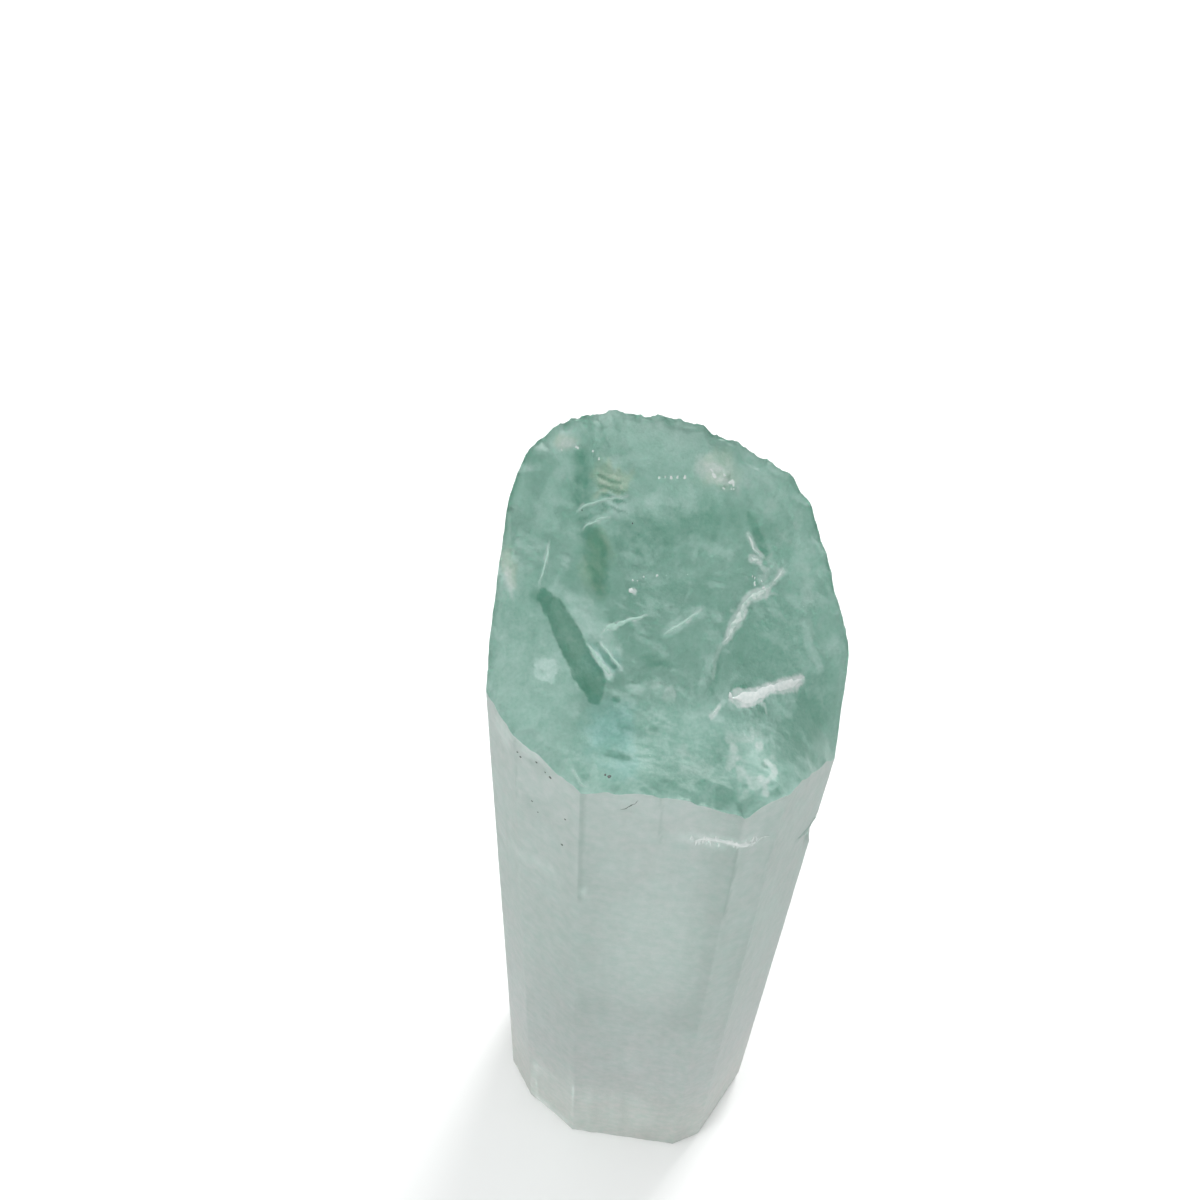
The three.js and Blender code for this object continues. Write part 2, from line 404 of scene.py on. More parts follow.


# Fine steps at the back left: painted highlights on their lit tread edges, with painted shade lines below
# them.
STEP_COUNT = 4
STEP_PITCH_X, STEP_PITCH_Y = 0.13, -0.46
STEP_ROUTE = ((-5.0, 8.0, 0.03), (-4.2, 7.8, 0.05), (-3.4, 7.7, 0.02))
STEP_SHADE_DROP = -0.2


def steps(drop, feather, strength):
    """The steps as paths, set off by a drop along Y, for their painted highlights and painted shade lines.
    """
    for row in range(STEP_COUNT):
        shift_x, shift_y = row * STEP_PITCH_X, row * STEP_PITCH_Y
        yield feather, strength, *((x + shift_x, y + shift_y + drop, half) for x, y, half in STEP_ROUTE)


# ---- pale, deep, warm and cool places, with painted light and shade among them

# Places on the fracture, in x and y. A spot is its centre, half sizes, turn, feather as a
# share of its size, and strength. A path is its feather, strength, and knots of x, y and half width.
PALE_SPOTS = (
    # Milky corners of the rim.
    (-7.1, 9.1, 1, 0.35, 10, 0.4, 0.9),
    (-7.9, 8.9, 0.4, 0.2, 0, 0.5, 0.5),
    (2.9, 8.1, 1.3, 0.65, 0, 0.4, 0.75),
    (4.4, 7.9, 1, 0.45, -10, 0.6, 0.45),
    (1.5, 8.4, 0.8, 0.35, 0, 0.6, 0.35),
    (-10.8, 3.1, 1.4, 0.5, -75, 0.4, 1),
    (-11.4, 2.1, 0.45, 0.4, -80, 0.5, 0.5),
    # Haze along the rim.
    (-0.9, 9.3, 3.9, 0.5, -5, 0.6, 0.2),
    (5.5, 7.8, 0.9, 0.5, -25, 0.6, 0.3),
    (6.9, 6.8, 1.5, 0.8, -25, 0.6, 0.32),
    (8.5, 4, 1.5, 0.65, 90, 0.6, 0.3),
    (-9.3, 5.5, 1.35, 0.75, -70, 0.6, 0.25),
    (-9.8, -0.9, 1.7, 1.25, -10, 0.5, 0.25),
    (-9.1, -5.2, 3.9, 2.8, -75, 0.5, 0.3),
    (-3.8, -8.3, 1.65, 0.9, -15, 0.5, 0.35),
    (4.6, -10.2, 1.6, 0.35, 10, 0.5, 0.3),
    # Haze over the bench.
    (-2.3, -3.5, 0.7, 0.3, 0, 0.3, 0.6),
    (-1, -3.4, 0.45, 0.3, 0, 0.3, 0.45),
    (1.1, -7.9, 1.7, 1.3, 20, 0.5, 0.15),
    (4.7, -7.8, 2.25, 1.7, 85, 0.45, 0.35),
    (1.9, -5.1, 1.4, 1.05, -60, 0.5, 0.35),
    (3.7, -2.6, 1, 0.55, 30, 0.5, 0.35),
    (-0.4, 3.3, 3, 0.4, 8, 0.5, 0.35),
    (1.2, -0.5, 1.7, 1.1, 20, 0.6, 0.22),
    (-7.3, 1.9, 0.8, 0.45, -15, 0.5, 0.4),
)
PALE_AND_LIT_PATHS = (
    # The square patch on the left.
    (
        0.1, 1.2,
        (-8.6, -1.8, 0.2), (-7.7, -1.8, 0.2), (-7.7, -2.3, 0.25), (-8.6, -2.2, 0.3), (-7.7, -2.8, 0.15),
    ),
    # The pale triangle in the channel, and its bars: painted light on the channel's lit wall, beside its
    # shaded one.
    (0.45, 0.62, (-6.6, 1.4, 0.25), (-5.8, 1, 0.45), (-4.9, 0.1, 0.6), (-4.2, -0.9, 0.45)),
    (0.3, 0.55, (-6.5, 1, 0.15), (-5.7, -0.2, 0.2), (-4.4, -2.1, 0.2), (-3.8, -2.8, 0.1)),
    (0.12, 0.95, (-5.5, -1, 0.1), (-4.8, -1.8, 0.15), (-4, -2.7, 0.2)),
    (0.1, 0.85, (-4.6, -0.9, 0.05), (-3.9, -1.7, 0.15), (-3.3, -2.3, 0.1)),
    (0.4, 0.6, (-4.3, -0.7, 0.2), (-3.7, -1.4, 0.4), (-3.5, -2, 0.2)),
    # Wisps beside the channel.
    (0.12, 0.55, (-8.6, 0.2, 0.05), (-7.7, -1, 0.1), (-7.2, -1.7, 0.1)),
    (0.1, 0.7, (-6.5, -2.2, 0.05), (-6, -3.4, 0.05)),
    # Wisps of the back slope.
    (0.25, 0.65, (-5.4, 5.4, 0.2), (-4.1, 6, 0.25), (-0.6, 7, 0.2)),
    (0.15, 0.6, (-10, 7.5, 0.1), (-8.7, 7.6, 0.05)),
    (0.2, 0.5, (-7.4, 6.4, 0.1), (-5.8, 6.3, 0.15), (-4.8, 6.8, 0.1)),
    (0.15, 0.55, (-5, 9.4, 0.1), (-4.4, 8.8, 0.2), (-3.8, 8.1, 0.1)),
    (0.3, 0.4, (-7.4, 7.8, 0.15), (-8.2, 6.3, 0.3), (-8.7, 5.1, 0.25)),
    (0.2, 0.4, (1.1, 7.5, 0.05), (1.3, 6.9, 0.15), (1.6, 6.5, 0.05)),
    # Wisps of the right, the middle and the front.
    (0.2, 0.55, (8.8, 1, 0.15), (9.2, 0.1, 0.2), (10.1, -0.8, 0.15)),
    (0.25, 0.6, (-0.3, -0.2, 0.2), (0.8, 0.5, 0.3), (2, 1.1, 0.3)),
    (0.15, 0.7, (2.7, -5, 0.05), (3.3, -4.1, 0.1), (3.7, -3.1, 0.1)),
    (0.2, 0.45, (1.9, -3.3, 0.15), (2.7, -1.3, 0.15)),
    (0.15, 0.6, (-6.2, -8.2, 0.05), (-5.8, -8.8, 0.1), (-5.4, -9.1, 0.05)),
    # Painted highlights on the lit tread edges of the steps.
    *steps(0, feather=0.07, strength=0.9),
)
# Deep green places: partly the crystal's own colour zoning, partly painted shade standing for its inner
# reflections.
DEEP_AND_SHADE_SPOTS = (
    # Broad deep ground.
    (1.6, -9, 3.6, 1.5, 0, 0.6, 0.36),
    (3, -10.1, 1.5, 0.5, 5, 0.6, 0.6),
    (3.6, -7.6, 1.2, 1.6, 0, 0.6, 0.25),
    (-1.4, 5.5, 2.7, 0.8, 8, 0.5, 0.65),
    (1.9, 6, 2.8, 0.85, 4, 0.5, 0.62),
    (2.6, 6.6, 0.9, 0.45, -40, 0.4, 0.35),
    (-2.1, 2.3, 2.7, 2.1, 20, 0.6, 0.28),
    (1.2, 1.9, 2.6, 2, 0, 0.6, 0.25),
    (5.9, -0.1, 3, 2.6, -25, 0.5, 0.22),
    (8.7, -4.5, 3.5, 1.3, 60, 0.4, 0.52),
    (7.6, -5.8, 0.7, 0.4, 65, 0.3, 0.5),
    (-4.5, 9, 1.1, 0.5, 10, 0.6, 0.35),
    # Small deep places.
    (-1.1, -1.8, 0.85, 0.4, 0, 0.6, 0.8),
    (-3.6, -4.1, 0.3, 0.25, 0, 0.3, 0.85),
    (-3.4, -7.4, 0.8, 0.3, -10, 0.55, 0.7),
    (6, -7.7, 0.3, 0.2, 70, 0.3, 0.75),
    (4.7, -9.2, 0.25, 0.2, 0, 0.4, 0.6),
    (3.2, -7.6, 0.25, 0.25, 30, 0.4, 0.5),
    (6.5, -9.6, 0.45, 0.2, 10, 0.4, 0.6),
    (5.7, -10.3, 0.35, 0.25, -15, 0.5, 0.3),
    (5.9, -4, 0.6, 0.35, 25, 0.4, 0.55),
)
DEEP_AND_SHADE_PATHS = (
    # Painted shade on the steep wall of the channel, and on the line into it.
    (
        0.2, 1.4,
        (-8.4, 1.6, 0.3), (-7.7, 1, 0.5), (-6.9, -0.2, 0.6),
        (-6.1, -1.5, 0.65), (-5.2, -2.9, 0.8), (-4.9, -3.9, 0.4),
    ),
    (0.35, 0.6, (-8.9, 1.7, 0.15), (-7.8, 1.3, 0.25)),
    # The two bars of the back slope, and the sliver beside the right crack.
    (0.75, 1, (-6, 8.4, 0.1), (-5.95, 7.7, 0.25), (-6, 6.6, 0.2)),
    (0.85, 1, (-5.4, 4.9, 0.2), (-5, 4, 0.45), (-4.7, 2.8, 0.25), (-4.6, 1.8, 0)),
    (0.35, 0.8, (5.1, 6.3, 0), (5.5, 5.5, 0.15), (6, 4.6, 0.2), (6.3, 4.2, 0.05)),
    # Finer lines.
    (0.1, 0.75, (-4.8, -1.1, 0.1), (-4.2, -1.7, 0.2), (-3.7, -2.2, 0.1)),
    # Painted shade beside the ridge on the right.
    (0.2, 0.6, (3.2, -1, 0.15), (2.9, -2, 0.2), (2.7, -3.3, 0.15)),
    (0.2, 0.5, (3.6, -0.7, 0.2), (4.2, 0.4, 0.1), (4.7, 1.2, 0.1)),
    (0.08, 0.6, (-6.1, 5.5, 0.1), (-4, 6.2, 0.05)),
    (0.1, 0.7, (4.2, -3.1, 0.1), (4.9, -2.7, 0.1), (5.4, -2.5, 0.05)),
    (0.4, 0.35, (-3.3, -5.6, 0.05), (-2, -6, 0.1), (-1, -5.8, 0.05)),
    # Painted shade lines below the steps.
    *steps(STEP_SHADE_DROP, feather=0.08, strength=0.75),
)
WARM_SPOTS = (
    (-4.1, 7.5, 1.3, 0.85, 10, 0.3, 0.9),
    (-7.1, 9.1, 0.9, 0.3, 5, 0.4, 0.5),
    (2.8, 8.1, 1.4, 0.7, 0, 0.5, 0.5),
    (-10.7, 3.3, 1.2, 0.5, -75, 0.4, 0.55),
    (-5, 3.5, 1.7, 0.85, 80, 0.4, 0.6),
)
COOL_SPOTS = (
    (-3.9, -5.8, 1.5, 1.4, 60, 0.6, 0.75),
    (-4.3, -4.4, 1, 0.55, 0, 0.5, 0.5),
    (-3.3, -8, 1, 0.8, -5, 0.5, 0.5),
    (-4.6, -2, 1.2, 0.75, 0, 0.5, 0.5),
)
BRIGHT_SPOTS = (
    # In the curdled patch, and beside the painted reflection slab.
    (5.7, -6.3, 0.35, 0.25, 85, 0.6, 0.75),
    (4, -6.7, 0.4, 0.3, 80, 0.6, 0.7),
    (4.9, -3.5, 0.4, 0.15, 30, 0.3, 0.3),
    # In the milky corners of the rim.
    (2.7, 8.15, 0.9, 0.22, -5, 0.5, 0.7),
    (3.4, 7.7, 0.65, 0.15, 0, 0.4, 0.55),
    (2, 8.4, 0.3, 0.1, 5, 0.4, 0.45),
    (-6.9, 9, 0.65, 0.2, 12, 0.6, 0.65),
    (-10.7, 2.6, 0.9, 0.25, -75, 0.6, 0.55),
    (8.7, 7.8, 0.15, 0.1, 0, 0.3, 0.6),
    # The largest bright dot.
    (-2.5, 2.1, 0.25, 0.2, 35, 0.15, 0.85),
)
BRIGHT_PATHS = (
    (0.1, 0.65, (6.1, -7.4, 0.1), (6.5, -7.7, 0.15), (6.6, -8.3, 0.15), (5.7, -9.1, 0.1)),
    (0.1, 0.65, (5.6, -8.6, 0.15), (5.8, -9.2, 0.15), (5.9, -9.7, 0.1)),
    (0.05, 0.55, (5.8, -3.3, 0.15), (6.2, -3.4, 0.1), (6.4, -3.9, 0.05)),
    (0.08, 0.5, (6.1, 2.3, 0.1), (6.5, 2.3, 0.05), (7, 2.3, 0)),
    (0.08, 0.45, (4, 1.1, 0.05), (4.3, 1.1, 0.15), (4.6, 1.1, 0.1)),
    (0.1, 0.45, (6, 3.6, 0.1), (6.2, 3.4, 0.1), (6.5, 3.5, 0.05)),
    (0.06, 0.45, (6.2, 4, 0.05), (6.7, 4.3, 0.05)),
    (0.12, 0.35, (3.3, -0.7, 0.05), (2.9, -1.4, 0.1), (2.7, -2.5, 0.05)),
    # The bed of the painted reflection slab, then the beds of the cracks and slivers.
    *beds([REFLECTION_SLAB], feather=0.07, strength=0.95, widen=1.8),
    *beds(MILKY_CRACKS, feather=0.12, strength=0.72, widen=1.9),
    *beds(PALE_SLIVERS, feather=0.05, strength=0.48, widen=1.2),
)
# Patches of curdled white cells: centre, half sizes, turn, strength.
CURD_PATCHES = (
    (4.9, -7.6, 2.6, 1.9, 85, 0.4),
    (1.6, -7.6, 2.2, 1.2, 10, 0.2),
    (7.4, 6.2, 2.2, 0.9, -50, 0.22),
    (9.3, 2.5, 2.5, 0.8, -80, 0.18),
    (3.2, 8, 1.9, 0.7, -10, 0.45),
    (-0.6, -3.6, 1.6, 0.7, 5, 0.3),
    (5.9, 3.4, 1.2, 0.9, 60, 0.35),
    (-10.8, 3.2, 1.4, 0.6, -75, 0.4),
)
# Where the fracture is least clear: centre, half sizes, turn, strength.
MILKY_SPOTS = (
    (0.5, -8, 9, 4.2, 0, 1),
    (-9, -2, 3.4, 6, 10, 0.7),
    (9, 0, 3.6, 5.5, -10, 0.5),
)
# Places on the prism faces, in distance round the prism and height.
FACE_PALE_SPOTS = (
    (0.65, 50.8, 0.55, 0.4, 0, 0.5, 0.7),
    (66.4, 63.7, 1, 1.2, 0, 0.5, 0.5),
    (69.2, 64.9, 1.6, 0.7, -10, 0.5, 0.5),
    (6, 43, 3.5, 9, 0, 0.5, 0.35),
    (9.3, 60.05, 2.4, 0.7, 0, 0.6, 0.75),
    (5.2, 21, 1.4, 2, 0, 0.5, 0.25),
    # Guessed, on the hidden faces.
    (28, 52, 1.4, 2.6, 10, 0.5, 0.4),
    (36, 31, 1.6, 2.4, 0, 0.5, 0.3),
    (42.5, 61, 2.2, 1, -15, 0.5, 0.45),
    (58, 47, 1.2, 2.4, 0, 0.5, 0.35),
)
FACE_DEEP_SPOTS = (
    (0.75, 54.5, 0.9, 3.2, 0, 0.5, 0.35),
    (69.8, 58, 1.3, 1.6, 20, 0.5, 0.35),
    (69.8, 63.6, 1.2, 0.35, -10, 0.5, 0.5),
    (68.4, 63.5, 0.3, 0.8, 0, 0.5, 0.6),
    (1, 31.5, 2, 2.2, 0, 0.5, 0.3),
    (8.8, 31.5, 2, 2.2, 0, 0.5, 0.3),
    (12.9, 40, 0.7, 7, 0, 0.5, 0.25),
    # Guessed, on the hidden faces.
    (30.5, 36, 1.4, 3, 0, 0.5, 0.3),
    (44, 46, 1.3, 2.8, 0, 0.5, 0.3),
)
FACE_PALE_PATHS = ((0.9, 0.4, (65.6, 49.2, 0), (70.8, 51.2, 0.1)),)
FACE_DARK_AND_SHADE_PATHS = (
    # Painted shadow: the dark sliver that ends at the chipped edge, the chip's inner face in shade.
    (0.35, 0.8, (17.8, 53, 0.1), (19.9, 52.1, 0.3), (20.9, 52.4, 0.3)),
    # Upright lines.
    (0.3, 0.95, (0.06, 50, 0.02), (0.06, 64.5, 0.15)),
    (0.08, 1, (10.5, 50, 0.05), (10.42, 60, 0.09)),
    (0.08, 0.6, (5.35, 58.5, 0.03), (5.1, 65.5, 0.04)),
    (0.1, 0.6, (68.04, 58, 0.04), (68.04, 66, 0.05)),
    (0.08, 0.4, (12.9, 54, 0.02), (13.1, 58.5, 0.04)),
    # Guessed, on the hidden faces.
    (0.1, 0.5, (32.2, 44, 0.03), (32.2, 72, 0.07)),
    (0.1, 0.4, (40.1, 54, 0.03), (40, 67, 0.05)),
    (0.1, 0.5, (47.4, 42, 0.03), (47.4, 75, 0.07)),
    (0.1, 0.5, (54.9, 46, 0.03), (54.9, 70, 0.07)),
)
# The chip of the right edge: its oval, how clear it is, and how ragged.
CHIP_OF_EDGE, CHIP_CLARITY, CHIP_RAGGEDNESS = (20.8, 50.7, 0.9, 1.2, 0), 0.45, 0.4
# How far noise bends the edges of spots (a share of their half width, up to a most) and of paths.
SPOT_BEND, SPOT_BEND_MOST, PATH_BEND = 0.55, 0.8, 0.08
# Clouds and wisps are combed along a direction. Pale marks are stronger under a cloud.
COMB, COMB_STRETCH = (0.94, 0.34), 0.35
CLOUD_SHARE, CLOUD_RANGE = 0.6, (-0.8, 0.8)
PALE_PLAIN, PALE_IN_CLOUD = 0.45, 0.65
RIM_HAZE, RIM_HAZE_FROM, RIM_HAZE_RANGE = 0.35, 0.93, (-0.2, 0.6)
VEIN_STRENGTH, VEIN_RANGE, VEIN_BEND = 0.45, (0.78, 1.0), 0.4
WISP_STRENGTH, WISP_RANGE = 0.4, (0.1, 1.0)
# Deep places, partly painted shade, push back the pale ones, and the back rim carries painted shade, the
# dark line that grazing light gives along it.
DEEP_AND_SHADE_LEVEL, DEEP_AND_SHADE_MOTTLE, DEEP_AND_SHADE_OVER_PALE = 0.9, 0.2, 0.8
RIM_SHADE, RIM_SHADE_FROM, RIM_SHADE_RANGE = 0.8, 0.965, (-4, 2)
BRIGHT_LEVEL, BRIGHT_MOTTLE = 0.88, 0.22
CURD_FINE_SHARE, CURD_RANGE, CURD_EDGE = 0.6, (-0.05, 0.45), 0.25
# The heights over which the painted light on the foot, making up for weaker light near the floor, and the
# milky lower faces come in.
FOOT_LIGHT_RANGE, FACE_MILK, FACE_MILK_RANGE = (20, 3), 0.9, (48, 8)


def path_gap(x, y, knots):
    """Distance to a path of knots less its half width there."""
    nearest = np.full(len(x), np.inf)
    for (x0, y0, half0), (x1, y1, half1) in zip(knots[:-1], knots[1:]):
        run_x, run_y = x1 - x0, y1 - y0
        share = np.clip(((x - x0) * run_x + (y - y0) * run_y) / (run_x ** 2 + run_y ** 2), 0, 1)
        gap = np.hypot(x - x0 - share * run_x, y - y0 - share * run_y) - between((half0, half1), share)
        nearest = np.minimum(nearest, gap)
    return nearest


def field(x, y, spots, paths, seed):
    """The strongest of the spots and paths at each place, with uneven edges."""
    plan = flat_points(x, y)
    bend_x, bend_y = (fractal(plan, 0.9, seed + turn, octaves=4, gain=0.6) for turn in (0, 5))
    total = np.zeros(len(x))
    for centre_x, centre_y, along, across, turn, feather, strength in spots:
        bend = SPOT_BEND * min(across, SPOT_BEND_MOST)
        reach = spot(x + bend * bend_x, y + bend * bend_y, centre_x, centre_y, along, across, turn)
        total = np.maximum(total, strength * smooth(1 + feather, 1 - feather, reach))
    near_x = x + PATH_BEND * fractal(plan, 0.4, seed + 11, octaves=2)
    near_y = y + PATH_BEND * fractal(plan, 0.4, seed + 13, octaves=2)
    for feather, strength, *knots in paths:
        total = np.maximum(total, strength * smooth(feather, 0, path_gap(near_x, near_y, knots)))
    return total


def pale_of_top(x, y, plan):
    """How milky the fracture is, with painted highlights on the step edges and on the channel's lit wall."""
    combed = flat_points((x * COMB[0] - y * COMB[1]) * COMB_STRETCH, x * COMB[1] + y * COMB[0])
    streaks = fractal(combed, size=0.5, seed=111, octaves=3, gain=0.6)
    lumps = fractal(plan, size=1.1, seed=117, octaves=3, gain=0.6)
    cloud = smooth(*CLOUD_RANGE, CLOUD_SHARE * streaks + CLOUD_SHARE * lumps)
    marks = field(x, y, PALE_SPOTS, PALE_AND_LIT_PATHS, seed=121)
    marks = np.clip(marks * (PALE_PLAIN + PALE_IN_CLOUD * cloud), 0, 1)
    rim = smooth(RIM_HAZE_FROM, 1.0, share_of_reach(x, y))
    rim = rim * smooth(*RIM_HAZE_RANGE, noise(plan, size=1.1, seed=141))
    winding = plan + VEIN_BEND * noise(plan, size=1.4, seed=127)[:, None]
    veins = smooth(*VEIN_RANGE, ridged(winding, size=2.1, seed=131))
    wisps = smooth(*WISP_RANGE, fractal(combed, size=0.6, seed=261, octaves=4, gain=0.7))
    return np.maximum.reduce([marks, RIM_HAZE * rim, VEIN_STRENGTH * veins * cloud, WISP_STRENGTH * wisps])


def deep_and_shade_of_top(x, y, plan):
    """How deep the fracture's green is away from its rim: partly its own colour zoning, partly painted shade
    of inner reflections.
    """
    marks = field(x, y, DEEP_AND_SHADE_SPOTS, DEEP_AND_SHADE_PATHS, seed=151)
    mottle = DEEP_AND_SHADE_LEVEL + DEEP_AND_SHADE_MOTTLE * fractal(plan, size=0.5, seed=157, octaves=2)
    return np.clip(marks * mottle, 0, 1)


def bright_of_top(x, y, plan):
    """How white the fracture is, with the painted reflection slab among its white places."""
    marks = field(x, y, BRIGHT_SPOTS, BRIGHT_PATHS, seed=201)
    marks = marks * (BRIGHT_LEVEL + BRIGHT_MOTTLE * noise(plan, size=0.22, seed=203))
    cells = noise(plan, size=0.75, seed=231) + CURD_FINE_SHARE * noise(plan, size=0.33, seed=233)
    curds = smooth(*CURD_RANGE, cells)
    ragged = CURD_EDGE * noise(plan, size=0.9, seed=237)
    for patch in CURD_PATCHES:
        ground = smooth(1.25, 0.6, spot(x, y, *patch[:5]) + ragged)
        marks = np.maximum(marks, patch[5] * ground * curds)
    return np.clip(marks, 0, 1)


# Vertex values that the beryl material reads.
FIELDS = ("pale", "deep_and_shade", "warm_and_foot_light", "cool", "bright", "milky", "broken")


def colour_fields(piece, vertices, around, broken):
    """The vertex values, from those of the fracture and those of the prism faces."""
    x, y, z = vertices.T
    plan = flat_points(x, y)
    deep_and_shade = deep_and_shade_of_top(x, y, plan)
    pale = pale_of_top(x, y, plan) * (1 - DEEP_AND_SHADE_OVER_PALE * deep_and_shade)
    # Painted shade along the back rim.
    rim = smooth(RIM_SHADE_FROM, 1.0, share_of_reach(x, y))
    deep_and_shade = np.maximum(deep_and_shade, RIM_SHADE * rim * smooth(*RIM_SHADE_RANGE, y))
    warm_and_foot_light = field(x, y, WARM_SPOTS, (), seed=181)
    cool = field(x, y, COOL_SPOTS, (), seed=191)
    milky = ovals(x, y, MILKY_SPOTS, outer=1.3, inner=0.6) * (1 - deep_and_shade)
    face_pale = field(around, z, FACE_PALE_SPOTS, FACE_PALE_PATHS, seed=161)
    face_dark_and_shade = field(around, z, FACE_DEEP_SPOTS, FACE_DARK_AND_SHADE_PATHS, seed=171)
    face_milky = FACE_MILK * smooth(*FACE_MILK_RANGE, z)
    on_fracture = (pale, deep_and_shade, warm_and_foot_light, cool, bright_of_top(x, y, plan), milky, broken)
    # On the faces the warm value is the painted light on the foot.
    on_faces = (face_pale, face_dark_and_shade, smooth(*FOOT_LIGHT_RANGE, z), 0, 0, face_milky, broken)
    for name, top, side in zip(FIELDS, on_fracture, on_faces):
        attribute = piece.data.attributes.new(name, "FLOAT", "POINT")
        attribute.data.foreach_set("value", np.where(broken > 0.5, top, side).astype(np.float32))


def crystal_mesh():
    made = levels()
    count = len(EDGE)
    middle = np.zeros(1)
    vertices = np.vstack([[[0, 0, BASE_UNEVENNESS]], *made, [[0, 0, fracture(middle, middle)[0]]]])
    step = np.arange(count)
    after = (step + 1) % count
    faces = np.column_stack([np.zeros(count, int), 1 + after, 1 + step]).tolist()
    for level in range(len(made) - 1):
        low, high = 1 + level * count, 1 + (level + 1) * count
        faces += np.column_stack([low + step, low + after, high + after, high + step]).tolist()
    top, last = len(vertices) - 1, 1 + (len(made) - 1) * count
    faces += np.column_stack([last + step, last + after, np.full(count, top)]).tolist()
    piece = mesh_object("aquamarine", vertices * MM, faces, sharp_over=40)

    around = np.concatenate([[0], np.tile(EDGE_AROUND, len(made)), [0]])
    broken = np.zeros(len(vertices))
    broken[1 + (BASE_RINGS - 1 + WEAR_ROWS + SIDE_ROWS) * count:] = 1
    ragged = CHIP_RAGGEDNESS * fractal(vertices, size=1.2, seed=87, octaves=3)
    chipped = CHIP_CLARITY * smooth(1.1, 0.8, spot(around, vertices[:, 2], *CHIP_OF_EDGE) + ragged)
    colour_fields(piece, vertices, around, np.maximum(broken, chipped))
    return piece


# ---- cracks, slivers and veils in the crystal

# Bright dots on the fracture: x, y, radius.
BRIGHT_DOTS = (
    (-0.93, 7.68, 0.07), (-0.54, 7.71, 0.05), (-0.14, 7.71, 0.09), (0.26, 7.72, 0.08), (0.75, 7.73, 0.09),
    (-2.64, 2.17, 0.15), (-2.53, 2.81, 0.06), (-2.23, 2.83, 0.05), (-1.82, 3.12, 0.06), (-0.92, 3.31, 0.08),
    (-4.9, 8.55, 0.07), (-5.3, 8.86, 0.06), (3.88, -3.44, 0.14),
)
DOT_HEIGHT = 0.6
# Shard fields: centre, half sizes, turn, count, range of shard sizes, turn of the shards, seed.
WHITE_SHARDS = (
    (3, 8, 1.3, 0.6, -25, 8, (0.04, 0.1), -20, 311),
    (-7, 9, 0.9, 0.3, 5, 4, (0.04, 0.09), 10, 321),
    (6.2, 3, 0.9, 0.9, 0, 6, (0.03, 0.07), 40, 341),
)
PALE_SHARDS = (
    (-0.1, -6.5, 5, 2.6, 0, 36, (0.06, 0.2), 20, 401),
    (-1.6, -3.5, 2.4, 1, 0, 16, (0.05, 0.16), 0, 411),
    (4.7, 8.2, 2.2, 0.9, -25, 12, (0.05, 0.14), -20, 421),
    (-5, 8.3, 1.8, 0.8, 15, 12, (0.05, 0.13), 20, 431),
    (9.3, 4, 3, 0.7, -66, 10, (0.05, 0.12), -60, 441),
)
FAINT_SINK = 0.12
SHARD_THICKNESS, SHARD_RAGGEDNESS, SHARD_SIDES = 0.03, 0.5, 10
SHARD_STRAY, SHARD_STRETCH, SHARDS_WITHIN = 35, 1.5, 0.94
# Rings of a flake from its middle to its edge: share of its half size, share of its thickness.
SHARD_RINGS = ((0.02, 1), (0.5, 0.85), (0.85, 0.5), (1.0, 0))
# Veils of droplets under the fracture: centre, half sizes, turn, depth range, count, seed.
VEILS = (
    (0.6, 3.4, 2.8, 0.5, 2, (0, 0.8), 90, 501),
    (0, -5.6, 4.2, 2.2, 5, (0, 0.5), 160, 541),
    (8.2, 1, 2.2, 0.9, 70, (0, 1.2), 70, 551),
)
VEIL_BEND, VEILS_WITHIN = 0.25, 0.9
DROPLET_SIZE, DROPLET_FLATNESS, DROPLET_SINK = (0.015, 0.06), 0.4, 0.03
# The crack across the front faces: distance round the prism, height, half width.
SIDE_CRACKS = (
    (
        (7.4, 59.9, 0.03), (8.2, 60.15, 0.18), (9.2, 60.2, 0.24),
        (10.4, 60, 0.28), (11.2, 59.8, 0.24), (11.6, 59.65, 0.05),
    ),
    ((11.75, 59.5, 0.03), (12, 60.05, 0.06), (12.4, 60.1, 0.05), (12.8, 59.85, 0.03)),
)
# The dark sliver above the chip of the right edge: a painted shadow of the chip's inner face in shade.
EDGE_SHADOW_SLIVER = (
    (17.8, 52.9, 0.04), (18.7, 52.4, 0.2), (19.6, 51.9, 0.42), (20.3, 51.9, 0.48), (20.9, 52.3, 0.15),
)
# Upright hairs that stand off the crack across the front faces.
SIDE_HAIRS, HAIR_SPAN, HAIR_LENGTH = 60, (7.2, 12.4), (0.15, 0.75)
HAIR_HALF_WIDTHS, HAIR_LEAN = (0.07, 0.06, 0.02), 0.04
CRACK_PEAK_AROUND, CRACK_PEAK_HEIGHT, CRACK_FALL = 9.5, 60.05, 0.05
